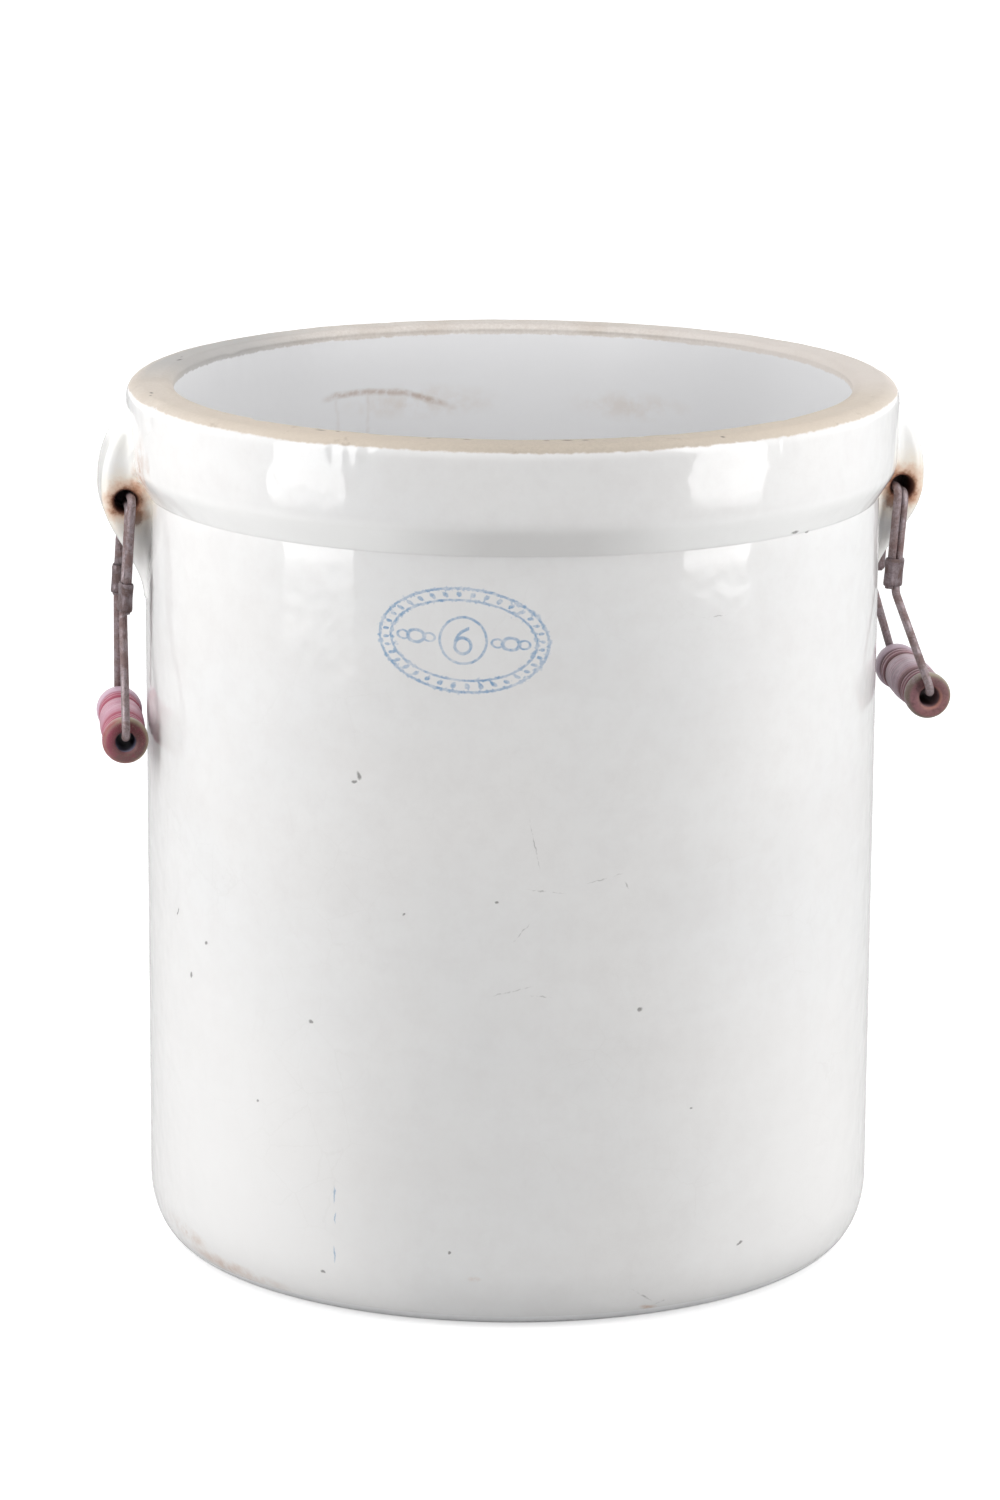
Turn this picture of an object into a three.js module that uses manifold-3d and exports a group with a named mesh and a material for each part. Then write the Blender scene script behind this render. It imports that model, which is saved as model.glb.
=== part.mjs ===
// A stoneware storage crock with two pierced ears; a wire bail with a turned wooden grip hangs from each.
// Millimetres, +Z up, origin at the centre of the flat base, the two ears on the X axis.
// The front of the crock faces -Y.

import * as THREE from 'three';
import { mergeVertices } from 'three/addons/utils/BufferGeometryUtils.js';
import Module from 'manifold-3d';

// Vessel
const HEIGHT = 375.5;
const BODY_RADIUS = 157.5;
const FOOT_TAPER = 0.6;
const WALL = 13.1;
const FLOOR = 16;
const COLLAR_PROJECTION = 7.5;
const COLLAR_FACE = 35.5;
const COLLAR_UNDERCUT = 11.2;
const RIM_OUTER_ROUND = 6.6;
const RIM_INNER_ROUND = 1.5;
const FOOT_ROUND_IN = 15.5;
const FOOT_ROUND_UP = 27;
const INNER_CORNER = 14;
const VESSEL_SIDES = 96;

// Ears: drops are measured down from the top of the rim
const EAR_TOP_DROP = 10;
const EAR_WIDEST_DROP = 41;
const EAR_WIDEST_BAND = 4;
const EAR_TIP_DROP = 92;
const EAR_PROJECTION = 12;
const EAR_TIP_THICKNESS = 0.8;
const EAR_WIDTH = 33;
const EAR_TOP_WIDTH = 22;
const EAR_TIP_WIDTH = 10;
const EAR_SHOULDER = 17;
const EAR_TAPER_DROP = 54;
const EAR_EDGE_ROUND = 3.5;
const EAR_SECTIONS = 27;

// Holes through the ears
const HOLE_DROP = 47.5;
const HOLE_OUTSIDE_COLLAR = 2;
const HOLE_FLARE = 1.5;
const HOLE_FLARE_DEPTH = 2;

// Bail wire: a single wire passed through the ear in both directions, so it lies double above its sleeves
const WIRE_DIAMETER = 3.6;
const WIRE_SIDES = 8;
const WIRE_BEND = 4.2;
const WIRE_KINK_BEND = 8;
const WIRE_KINK_BELOW_SLEEVE = 3;
const WIRE_TAIL = 1;
const STRAND_GAP = 0.4;
const PAIR_SAG = 1.7;
const LEG_TO_EAR = 0.5;

// Crimped sleeves around the doubled wire
const SLEEVE_LENGTH = 12;
const SLEEVE_WALL = 0.6;

// Wooden grips
const GRIP_LENGTH = 68;
const GRIP_BEAD_DIAMETER = 20;
const GRIP_BEAD_WIDTH = 8.5;
const GRIP_BARREL_DIAMETER = 19.4;
const GRIP_BARREL_END_DIAMETER = 18.4;
const GRIP_RING_WIDTH = 6.5;
const GRIP_GROOVE_DEPTH = 1.1;
const GRIP_GROOVE_WIDTH = 2.2;
const GRIP_BORE = 8.4;
const GRIP_END_ROUND = 2.2;
const GRIP_MOUTH_CHAMFER = 0.8;
const GRIP_END_ROOM = 5.6;
const GRIP_SIDES = 28;

// Clearance between pieces that touch
const GAP = 0.3;

// How each bail hangs, measured from its ear hole: down, out from the crock, and turned about the upright
const LEFT_LAY = 75;
const LEFT_SLEEVE_DROP = 40.1;
const LEFT_SLEEVE_OUT = 0.8;
const LEFT_GRIP_DROP = 100.2;
const LEFT_GRIP_OUT = 1.1;
const LEFT_GRIP_TURN = 1.8;
const RIGHT_LAY = 35;
const RIGHT_SLEEVE_DROP = 36.5;
const RIGHT_SLEEVE_OUT = -3.7;
const RIGHT_GRIP_DROP = 89.1;
const RIGHT_GRIP_OUT = 9.7;
const RIGHT_GRIP_TURN = 1;

const glaze = new THREE.MeshStandardMaterial({ color: 0xe4e2dd, roughness: 0.28, metalness: 0 });
const wireSteel = new THREE.MeshStandardMaterial({ color: 0x776b69, roughness: 0.7, metalness: 0.6 });
const sleeveSteel = new THREE.MeshStandardMaterial({ color: 0x85787a, roughness: 0.6, metalness: 0.7 });
const paintedWood = new THREE.MeshStandardMaterial({ color: 0xa0676f, roughness: 0.65, metalness: 0 });

const collarRadius = BODY_RADIUS + COLLAR_PROJECTION;
const mouthRadius = BODY_RADIUS - WALL;
const wireRadius = WIRE_DIAMETER / 2;
const pairHalf = (WIRE_DIAMETER + STRAND_GAP) / 2;
const holeRadius = Math.hypot(pairHalf, PAIR_SAG) + wireRadius + GAP;
const holeOut = collarRadius + HOLE_OUTSIDE_COLLAR;
const holeHeight = HEIGHT - HOLE_DROP;
const legOut = EAR_WIDTH / 2 + LEG_TO_EAR + wireRadius;
const sleeveInner = wireRadius + GAP;
const sleeveOuter = sleeveInner + SLEEVE_WALL;
const gripLift = GRIP_BORE / 2 - GAP - wireRadius;

const wasm = await Module();
wasm.setup();

// One closed skin of positions, without the slivers that a lathe leaves on its axis
function weld(geometry) {
  const bare = geometry.clone();
  bare.deleteAttribute('normal');
  bare.deleteAttribute('uv');
  const merged = mergeVertices(bare, 1e-4);
  const corners = merged.index.array;
  const kept = [];
  for (let i = 0; i < corners.length; i += 3) {
    const [a, b, c] = corners.slice(i, i + 3);
    if (a !== b && b !== c && c !== a) kept.push(a, b, c);
  }
  merged.setIndex(kept);
  return merged;
}

function toSolid(geometry) {
  const welded = weld(geometry);
  const vertProperties = new Float32Array(welded.attributes.position.array);
  const triVerts = new Uint32Array(welded.index.array);
  return new wasm.Manifold(new wasm.Mesh({ numProp: 3, vertProperties, triVerts }));
}

function fromSolid(solid) {
  const mesh = solid.getMesh();
  const geometry = new THREE.BufferGeometry();
  geometry.setAttribute('position', new THREE.BufferAttribute(mesh.vertProperties, 3));
  geometry.setIndex(new THREE.BufferAttribute(mesh.triVerts, 1));
  return geometry;
}

// Points of an elliptical arc; angles in degrees, 0 pointing along the first axis
function arc(centreX, centreY, radiusX, radiusY, from, to, steps) {
  const points = [];
  for (let i = 0; i <= steps; i++) {
    const angle = THREE.MathUtils.degToRad(from + (to - from) * i / steps);
    const x = centreX + radiusX * Math.cos(angle);
    const y = centreY + radiusY * Math.sin(angle);
    points.push(new THREE.Vector2(x, y));
  }
  return points;
}

// Outside of the crock from the middle of its base to the top of its rim, grown by a clearance
function outerProfile(grow) {
  const footCentre = BODY_RADIUS - FOOT_TAPER - FOOT_ROUND_IN + grow;
  const faceBottom = HEIGHT - COLLAR_FACE;
  const rimCentre = collarRadius - RIM_OUTER_ROUND + grow;
  return [
    new THREE.Vector2(0, 0),
    ...arc(footCentre, FOOT_ROUND_UP, FOOT_ROUND_IN, FOOT_ROUND_UP, -90, 0, 7),
    ...arc(BODY_RADIUS + grow, faceBottom, COLLAR_PROJECTION, COLLAR_UNDERCUT + grow, -90, 0, 7),
    ...arc(rimCentre, HEIGHT - RIM_OUTER_ROUND, RIM_OUTER_ROUND, RIM_OUTER_ROUND, 0, 90, 5),
  ];
}

function turnUpright(profile) {
  return new THREE.LatheGeometry(profile, VESSEL_SIDES).rotateX(Math.PI / 2);
}

function makeVessel() {
  const rimCentre = mouthRadius + RIM_INNER_ROUND;
  return turnUpright([
    ...outerProfile(0),
    ...arc(rimCentre, HEIGHT - RIM_INNER_ROUND, RIM_INNER_ROUND, RIM_INNER_ROUND, 90, 180, 2),
    ...arc(mouthRadius - INNER_CORNER, FLOOR + INNER_CORNER, INNER_CORNER, INNER_CORNER, 0, -90, 4),
    new THREE.Vector2(0, FLOOR),
  ]);
}

// Falls smoothly from 1 to 0 as the drop goes from start to end
function ease(drop, start, end) {
  return 1 - THREE.MathUtils.smoothstep(drop, start, end);
}

// How far the ear reaches from the crock's axis at a given drop
function earReach(drop) {
  if (drop < EAR_WIDEST_DROP) {
    const rise = (EAR_WIDEST_DROP - drop) / (EAR_WIDEST_DROP - EAR_TOP_DROP);
    return collarRadius + EAR_PROJECTION * (1 - rise * rise);
  }
  const tail = BODY_RADIUS + EAR_TIP_THICKNESS;
  const share = ease(drop, EAR_WIDEST_DROP + EAR_WIDEST_BAND, EAR_TIP_DROP);
  return THREE.MathUtils.lerp(tail, collarRadius + EAR_PROJECTION, share);
}

function earHalfWidth(drop) {
  if (drop < EAR_TOP_DROP + EAR_SHOULDER) {
    const rise = 1 - (drop - EAR_TOP_DROP) / EAR_SHOULDER;
    return THREE.MathUtils.lerp(EAR_TOP_WIDTH, EAR_WIDTH, Math.sqrt(1 - rise * rise)) / 2;
  }
  const share = ease(drop, EAR_TAPER_DROP, EAR_TIP_DROP);
  return THREE.MathUtils.lerp(EAR_TIP_WIDTH, EAR_WIDTH, share) / 2;
}

// Level outline of the ear, its outer corners rounded; the root is deep inside the crock
function earOutline(drop) {
  const reach = earReach(drop);
  const half = earHalfWidth(drop);
  const round = Math.min(EAR_EDGE_ROUND, half - 0.5);
  const root = new THREE.Vector2(mouthRadius, -half);
  return [
    root,
    ...arc(reach - round, round - half, round, round, -90, 0, 4),
    ...arc(reach - round, half - round, round, round, 0, 90, 4),
    new THREE.Vector2(root.x, half),
  ].map((point) => new THREE.Vector3(point.x, point.y, HEIGHT - drop));
}

// Skin over level outlines listed from the lowest to the highest
function loft(outlines) {
  const count = outlines[0].length;
  const last = (outlines.length - 1) * count;
  const index = [];
  for (let row = 0; row < last; row += count) {
    for (let i = 0; i < count; i++) {
      const next = (i + 1) % count;
      index.push(row + i, row + next, row + count + next);
      index.push(row + i, row + count + next, row + count + i);
    }
  }
  for (let i = 1; i < count - 1; i++) {
    index.push(0, i + 1, i);
    index.push(last, last + i, last + i + 1);
  }
  const geometry = new THREE.BufferGeometry().setFromPoints(outlines.flat());
  geometry.setIndex(index);
  return geometry;
}

// The hole runs along Y and flares at both mouths, where the wire bends down
function makeEarHole() {
  const face = EAR_WIDTH / 2;
  const past = face + EAR_EDGE_ROUND;
  const mouth = holeRadius + HOLE_FLARE;
  const profile = [
    new THREE.Vector2(0, -past),
    new THREE.Vector2(mouth, -past),
    new THREE.Vector2(mouth, -face),
    new THREE.Vector2(holeRadius, HOLE_FLARE_DEPTH - face),
    new THREE.Vector2(holeRadius, face - HOLE_FLARE_DEPTH),
    new THREE.Vector2(mouth, face),
    new THREE.Vector2(mouth, past),
    new THREE.Vector2(0, past),
  ];
  return new THREE.LatheGeometry(profile, 32).translate(holeOut, 0, holeHeight);
}

function makeEar() {
  const outlines = [];
  for (let i = 0; i <= EAR_SECTIONS; i++) {
    const drop = THREE.MathUtils.lerp(EAR_TIP_DROP, EAR_TOP_DROP, i / EAR_SECTIONS);
    outlines.push(earOutline(drop));
  }
  const crock = turnUpright([...outerProfile(GAP), new THREE.Vector2(0, HEIGHT)]);
  const ear = toSolid(loft(outlines)).subtract(toSolid(crock)).subtract(toSolid(makeEarHole()));
  return fromSolid(ear);
}

// A round bend of a wire: the spoke from a centre, turned about an axis
class Bend extends THREE.Curve {
  constructor(centre, spoke, axis, angle) {
    super();
    this.centre = centre;
    this.spoke = spoke;
    this.axis = axis;
    this.angle = angle;
  }

  getPoint(t, target = new THREE.Vector3()) {
    return target.copy(this.spoke).applyAxisAngle(this.axis, this.angle * t).add(this.centre);
  }
}

// Straight runs and bends in turn, each given the same number of rings whatever its length
class WirePath extends THREE.Curve {
  constructor(pieces) {
    super();
    this.pieces = pieces;
  }

  getPoint(t, target = new THREE.Vector3()) {
    const place = t * this.pieces.length;
    const index = Math.min(Math.floor(place), this.pieces.length - 1);
    return this.pieces[index].getPoint(place - index, target);
  }

  getUtoTmapping(u) {
    return u;
  }
}

// Straight runs from corner to corner, every corner rounded with its own radius
function bentPath(start, corners, end) {
  const pieces = [];
  let from = start;
  let previous = start;
  corners.forEach(({ at, radius }, i) => {
    const following = i + 1 < corners.length ? corners[i + 1].at : end;
    const before = at.clone().sub(previous).normalize();
    const after = following.clone().sub(at).normalize();
    const turn = before.angleTo(after);
    const run = radius * Math.tan(turn / 2);
    const enter = at.clone().addScaledVector(before, -run);
    const axis = before.clone().cross(after).normalize();
    const centre = enter.clone().addScaledVector(axis.clone().cross(before), radius);
    pieces.push(new THREE.LineCurve3(from, enter));
    pieces.push(new Bend(centre, enter.clone().sub(centre), axis, turn));
    from = at.clone().addScaledVector(after, run);
    previous = at;
  });
  pieces.push(new THREE.LineCurve3(from, end));
  return new WirePath(pieces);
}

function makeRoundWire(path) {
  const section = new THREE.Shape();
  section.moveTo(wireRadius, 0);
  for (let i = 1; i < WIRE_SIDES; i++) {
    const angle = 2 * Math.PI * i / WIRE_SIDES;
    section.lineTo(wireRadius * Math.cos(angle), wireRadius * Math.sin(angle));
  }
  const ringsPerPiece = 4;
  return new THREE.ExtrudeGeometry(section, {
    steps: path.pieces.length * ringsPerPiece,
    extrudePath: path,
    bevelEnabled: false,
  });
}

// The doubled wire in a frame at the middle of the ear hole: X out, Y through the hole, Z up.
// The upper strand lies nearer the crock and bends down farther from the ear than the lower one.
function layStrands(hang) {
  const lay = THREE.MathUtils.degToRad(hang.lay);
  const across = new THREE.Vector3(Math.cos(lay), 0, -Math.sin(lay)).multiplyScalar(pairHalf);
  const middle = new THREE.Vector3(-Math.sin(lay), 0, -Math.cos(lay)).multiplyScalar(PAIR_SAG);
  const down = new THREE.Vector3(hang.sleeveOut, 0, -hang.sleeveDrop).sub(middle).normalize();
  const upper = { bar: middle.clone().sub(across), leg: legOut + 2 * pairHalf * Math.sin(lay) };
  const lower = { bar: middle.clone().add(across), leg: legOut };
  return { upper, lower, down };
}

function hangCorner(strand, side) {
  return strand.bar.clone().setY(side * strand.leg);
}

// A point of one leg of a strand, at a given drop below the hole
function legPoint(strand, side, down, drop) {
  const corner = hangCorner(strand, side);
  return corner.addScaledVector(down, -(drop + corner.z) / down.z);
}

function gripAxis(hang) {
  const turn = THREE.MathUtils.degToRad(hang.gripTurn);
  return new THREE.Vector3(Math.sin(turn), hang.front * Math.cos(turn), 0);
}

function gripCentre(hang) {
  return new THREE.Vector3(hang.gripOut, 0, -hang.gripDrop);
}

function makeBailWire(hang) {
  const { upper, lower, down } = layStrands(hang);
  const front = hang.front;
  const sleeveEnd = hang.sleeveDrop + SLEEVE_LENGTH / 2;
  const tailDrop = sleeveEnd + WIRE_TAIL;
  const kinkDrop = sleeveEnd + WIRE_KINK_BELOW_SLEEVE;
  const gripEnd = gripAxis(hang).multiplyScalar(GRIP_LENGTH / 2 + GRIP_END_ROOM);
  const gripMiddle = gripCentre(hang).add(new THREE.Vector3(0, 0, gripLift));
  const corners = [
    { at: hangCorner(upper, front), radius: WIRE_BEND },
    { at: hangCorner(upper, -front), radius: WIRE_BEND },
    { at: legPoint(upper, -front, down, kinkDrop), radius: WIRE_KINK_BEND },
    { at: gripMiddle.clone().sub(gripEnd), radius: WIRE_BEND },
    { at: gripMiddle.clone().add(gripEnd), radius: WIRE_BEND },
    { at: legPoint(lower, front, down, kinkDrop), radius: WIRE_KINK_BEND },
    { at: hangCorner(lower, front), radius: WIRE_BEND },
    { at: hangCorner(lower, -front), radius: WIRE_BEND },
  ];
  const start = legPoint(upper, front, down, tailDrop);
  const end = legPoint(lower, -front, down, tailDrop);
  return makeRoundWire(bentPath(start, corners, end));
}

function addStadium(path, half, radius) {
  path.absarc(half, 0, radius, -Math.PI / 2, Math.PI / 2, false);
  path.absarc(-half, 0, radius, Math.PI / 2, 3 * Math.PI / 2, false);
  return path;
}

function makeSleeve(hang, side) {
  const { upper, lower, down } = layStrands(hang);
  const inner = legPoint(upper, side, down, hang.sleeveDrop);
  const outer = legPoint(lower, side, down, hang.sleeveDrop);
  const across = outer.clone().sub(inner);
  across.addScaledVector(down, -across.dot(down));
  const half = across.length() / 2;
  across.normalize();
  const section = addStadium(new THREE.Shape(), half, sleeveOuter);
  section.holes.push(addStadium(new THREE.Path(), half, sleeveInner));
  const sleeve = new THREE.ExtrudeGeometry(section, {
    depth: SLEEVE_LENGTH,
    curveSegments: 10,
    bevelEnabled: false,
  });
  sleeve.translate(0, 0, -SLEEVE_LENGTH / 2);
  const basis = new THREE.Matrix4().makeBasis(across, down.clone().cross(across), down);
  const middle = inner.add(outer).multiplyScalar(0.5);
  return sleeve.applyMatrix4(basis).translate(middle.x, middle.y, middle.z);
}

// Turned grip: a bead at each end, a narrow ring beside it and a swelling barrel in the middle
function makeGrip(hang) {
  const half = GRIP_LENGTH / 2;
  const bead = GRIP_BEAD_DIAMETER / 2;
  const shoulder = GRIP_BARREL_END_DIAMETER / 2;
  const bore = GRIP_BORE / 2;
  const ringEdge = half - GRIP_BEAD_WIDTH;
  const barrelEdge = ringEdge - GRIP_RING_WIDTH;
  const groove = (edge, outside) => [
    new THREE.Vector2(shoulder, edge - GRIP_GROOVE_WIDTH / 2),
    new THREE.Vector2(shoulder - GRIP_GROOVE_DEPTH, edge),
    new THREE.Vector2(outside, edge + GRIP_GROOVE_WIDTH / 2),
  ];
  const rounding = GRIP_END_ROUND;
  const upper = [
    new THREE.Vector2(GRIP_BARREL_DIAMETER / 2, barrelEdge / 3),
    ...groove(barrelEdge, shoulder),
    ...groove(ringEdge, bead),
    ...arc(bead - rounding, half - rounding, rounding, rounding, 0, 90, 3),
    new THREE.Vector2(bore + GRIP_MOUTH_CHAMFER, half),
    new THREE.Vector2(bore, half - GRIP_MOUTH_CHAMFER),
  ];
  const lower = upper.map((point) => new THREE.Vector2(point.x, -point.y)).reverse();
  const grip = new THREE.LatheGeometry([...lower, ...upper, lower[0]], GRIP_SIDES);
  const axis = gripAxis(hang);
  const centre = gripCentre(hang);
  const upright = new THREE.Vector3(0, 0, 1);
  const basis = new THREE.Matrix4().makeBasis(axis.clone().cross(upright), axis, upright);
  return grip.applyMatrix4(basis).translate(centre.x, centre.y, centre.z);
}

const crock = new THREE.Group();
crock.name = 'stoneware_crock';

function addPiece(name, geometry, material) {
  const mesh = new THREE.Mesh(weld(geometry), material);
  mesh.name = name;
  mesh.geometry.computeVertexNormals();
  crock.add(mesh);
}

// Everything at one ear; the frame of the bail is moved from the hole to its place on the crock
function addSide(side, azimuth, hang) {
  const atEar = (geometry) => geometry.translate(holeOut, 0, holeHeight).rotateZ(azimuth);
  addPiece(`ear_${side}`, makeEar().rotateZ(azimuth), glaze);
  addPiece(`bail_wire_${side}`, atEar(makeBailWire(hang)), wireSteel);
  addPiece(`sleeve_${side}_front`, atEar(makeSleeve(hang, hang.front)), sleeveSteel);
  addPiece(`sleeve_${side}_rear`, atEar(makeSleeve(hang, -hang.front)), sleeveSteel);
  addPiece(`grip_${side}`, atEar(makeGrip(hang)), paintedWood);
}

addPiece('crock_vessel', makeVessel(), glaze);
addSide('left', Math.PI, {
  front: 1,
  lay: LEFT_LAY,
  sleeveDrop: LEFT_SLEEVE_DROP,
  sleeveOut: LEFT_SLEEVE_OUT,
  gripDrop: LEFT_GRIP_DROP,
  gripOut: LEFT_GRIP_OUT,
  gripTurn: LEFT_GRIP_TURN,
});
addSide('right', 0, {
  front: -1,
  lay: RIGHT_LAY,
  sleeveDrop: RIGHT_SLEEVE_DROP,
  sleeveOut: RIGHT_SLEEVE_OUT,
  gripDrop: RIGHT_GRIP_DROP,
  gripOut: RIGHT_GRIP_OUT,
  gripTurn: RIGHT_GRIP_TURN,
});

export default crock;
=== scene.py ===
"""Looks of the stoneware crock: glazed pot and ears, rusty wire bails and worn red wooden grips.

Metres, in the frame of the CAD model: +Z up, ears on X, the stamped front towards -Y.
"""

import math

import bpy
from mathutils import Matrix, Vector, noise


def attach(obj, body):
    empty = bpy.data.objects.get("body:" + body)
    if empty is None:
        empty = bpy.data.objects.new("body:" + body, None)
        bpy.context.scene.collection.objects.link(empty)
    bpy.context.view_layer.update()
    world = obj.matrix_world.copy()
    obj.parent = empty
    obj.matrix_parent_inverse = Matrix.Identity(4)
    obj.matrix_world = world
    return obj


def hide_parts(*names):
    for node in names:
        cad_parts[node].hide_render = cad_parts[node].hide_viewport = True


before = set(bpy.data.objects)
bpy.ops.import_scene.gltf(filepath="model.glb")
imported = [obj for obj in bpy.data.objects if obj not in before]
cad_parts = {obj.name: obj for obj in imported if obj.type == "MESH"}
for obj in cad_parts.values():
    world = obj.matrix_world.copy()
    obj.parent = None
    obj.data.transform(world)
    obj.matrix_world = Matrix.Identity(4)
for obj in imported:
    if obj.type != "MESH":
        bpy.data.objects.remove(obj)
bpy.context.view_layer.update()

MM = 0.001

# Crock, as in the CAD model
HEIGHT = 375.5
BODY_RADIUS = 157.5
FOOT_RADIUS = 156.9
MOUTH_RADIUS = 144.4
FLOOR_THICKNESS = 16
COLLAR_RADIUS = 165
COLLAR_BOTTOM = HEIGHT - 46.7
# Rounded underside of the collar: height above its foot and radius
COLLAR_UNDERSIDE = [
    (0, 157.5), (10.2, 163.7), (12, 164.35), (13.8, 164.68), (16, 164.85), (19, 164.95), (23, 165),
]
# The body draws in by this much just under the collar, fading out over this height
COLLAR_WAIST = 0.5
COLLAR_WAIST_HEIGHT = 3.5
CROCK_SIDES = 480
# Depth of the fired skin inside the CAD skin, and how far it varies
SKIN_DEPTH = 0.22
SKIN_UNEVEN = 0.15
RIM_OUTER_ROUND = 6.6
RIM_INNER_ROUND = 5
FOOT_ROUND_IN = 15.5
FOOT_ROUND_UP = 27
INNER_CORNER = 14

# Ears: drops are below the top of the rim
EAR_TOP_DROP = 10
EAR_WIDEST_DROP = 41
EAR_WIDEST_BAND = 4
EAR_TIP_DROP = 92
EAR_REACH = 177
EAR_TIP_THICKNESS = 0.8
EAR_HALF_WIDTH = 16.5
EAR_TOP_HALF_WIDTH = 11
EAR_TIP_HALF_WIDTH = 5
EAR_SHOULDER = 17
EAR_TAPER_DROP = 54
EAR_EDGE_ROUND = 4
# The ear widens by this much at the pot's skin, from this far above it
EAR_ROOT_FLARE = 2.6
EAR_ROOT_FLARE_HEIGHT = 3
HOLE_RADIUS = 4.55
HOLE_OUT = 167
HOLE_HEIGHT = HEIGHT - 47.5
# The front mouth of an ear hole: radius and place along Y, going inwards
HOLE_MOUTH = [(6.6, -24), (6.6, -17.4), (5.6, -16.4), (HOLE_RADIUS, -15.2)]
# The bore widens by this much over this span from its middle
HOLE_FLARE = 0.45
HOLE_FLARE_SPAN = (12, 15.4)
# Reach from the bore's axis and middle, of the skin brought back to size and of the bore's own material
HOLE_SNUG = (5.6, 15.6)
HOLE_FACES = (HOLE_RADIUS + 0.9, 16.6)
EAR_SECTIONS = 72
EAR_VOXEL = 0.75
DRILL_SIDES = 48

# Bails and grips
WIRE_RADIUS = 1.8
WIRE_BEND = 4.2
WIRE_KINK_BEND = 8
PAIR_HALF = 2
PAIR_SAG = 1.7
LEG_OUT = 18.8
SLEEVE_LENGTH = 12
SLEEVE_INNER = 2.1
SLEEVE_WALL = 0.6
SLEEVE_WAIST = 0.16
SLEEVE_EDGE = 0.8
SLEEVE_EDGE_DROP = 0.25
SLEEVE_SQUEEZE = 0.05
SLEEVE_ROWS = 12
WIRE_TAIL = 1
KINK_BELOW_SLEEVE = 3
GRIP_LENGTH = 68
GRIP_BORE_RADIUS = 4.2
GRIP_LIFT = 2.1
GRIP_END_ROOM = 5.6
GRIP_SIDES = 64
WIRE_SIDES = 16
PLUG_SIDES = 24
GRIP_WOBBLE = 0.12
GRIP_WOBBLE_FROM = 5

# How each bail hangs, before it is turned by its azimuth: which way its front lies along Y, how far the
# strands are rolled over each other (degrees), the middle of a sleeve and of the grip as (out, down) from
# the hole, and the grip's turn from Y (degrees)
HANGS = {
    "left": {
        "front": 1, "azimuth": math.pi, "lay": 75, "sleeve": (0.8, 40.1), "grip": (1.1, 100.2), "turn": 1.8,
    },
    "right": {
        "front": -1, "azimuth": 0, "lay": 35, "sleeve": (-3.7, 36.5), "grip": (9.7, 89.1), "turn": 1,
    },
}


# ---- mesh helpers ----


def add_to_scene(name, data):
    obj = bpy.data.objects.new(name, data)
    bpy.context.scene.collection.objects.link(obj)
    return obj


def add_object(name, verts, faces):
    """A smooth-shaded mesh object from points in mm."""
    mesh = bpy.data.meshes.new(name)
    mesh.from_pydata([Vector(v) * MM for v in verts], [], faces)
    mesh.validate()
    mesh.polygons.foreach_set("use_smooth", [True] * len(mesh.polygons))
    return add_to_scene(name, mesh)


def wall_faces(rows, count, first=0, closed=False, flip=False):
    """Quads between rows of count points; closed joins the last row to the first one."""
    faces = []
    for row in range(rows if closed else rows - 1):
        low = first + row * count
        high = first + (row + 1) % rows * count
        for i in range(count):
            after = (i + 1) % count
            if flip:
                faces.append((low + i, high + i, high + after, low + after))
            else:
                faces.append((low + i, low + after, high + after, high + i))
    return faces


def capped_faces(rows, count, flip=False):
    """The walls of a tube and its two end faces."""
    start = tuple(range(count))
    end = tuple(range((rows - 1) * count, rows * count))
    caps = [start, end[::-1]] if flip else [start[::-1], end]
    return caps + wall_faces(rows, count, flip=flip)


def arc(cx, cy, rx, ry, start, end, steps):
    """Points of an ellipse from one angle to another, in degrees."""
    points = []
    for i in range(steps + 1):
        angle = math.radians(start + (end - start) * i / steps)
        points.append((cx + rx * math.cos(angle), cy + ry * math.sin(angle)))
    return points


def round_angles(sides):
    return [2 * math.pi * i / sides for i in range(sides)]


def line(a, b, steps):
    """Points after a up to and without b."""
    return [
        (a[0] + (b[0] - a[0]) * i / steps, a[1] + (b[1] - a[1]) * i / steps)
        for i in range(1, steps)
    ]


def bake(obj, *modifiers):
    """Adds modifiers given as (type, settings) and applies them all."""
    for kind, settings in modifiers:
        modifier = obj.modifiers.new(kind.lower(), kind)
        for key, value in settings.items():
            setattr(modifier, key, value)
    depsgraph = bpy.context.evaluated_depsgraph_get()
    mesh = bpy.data.meshes.new_from_object(obj.evaluated_get(depsgraph))
    mesh.name = obj.name
    obj.modifiers.clear()
    obj.data = mesh


def smoothstep(value, low, high):
    t = min(max((value - low) / (high - low), 0), 1)
    return t * t * (3 - 2 * t)


# ---- crock ----

# Nicks in the rim: azimuth from the front in degrees, +X side positive; radius, size and depth in mm
RIM_NICKS = [
    (-75, 163.5, 4, 1.4), (-52.5, 147, 3.5, 1.2), (-34, 164.5, 2.2, 0.6), (-31.5, 164.5, 1.6, 0.5),
    (-29, 164.5, 2.2, 0.6), (33, 164.5, 2.4, 0.6), (41, 146, 3, 0.8), (3, 164.5, 2, 0.4), (-8, 145.5, 3, 0.6),
    (12, 145.5, 4, 0.7), (150, 163.5, 4, 0.9), (-130, 146, 4, 0.9), (95, 164, 4, 0.9), (-110, 164, 3, 0.8),
]


def collar_underside(rise):
    """Radius of the collar's rounded underside at a height above its foot."""
    for (low, inner), (high, outer) in zip(COLLAR_UNDERSIDE, COLLAR_UNDERSIDE[1:]):
        if rise <= high:
            return inner + (outer - inner) * (rise - low) / (high - low)
    return COLLAR_RADIUS


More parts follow.
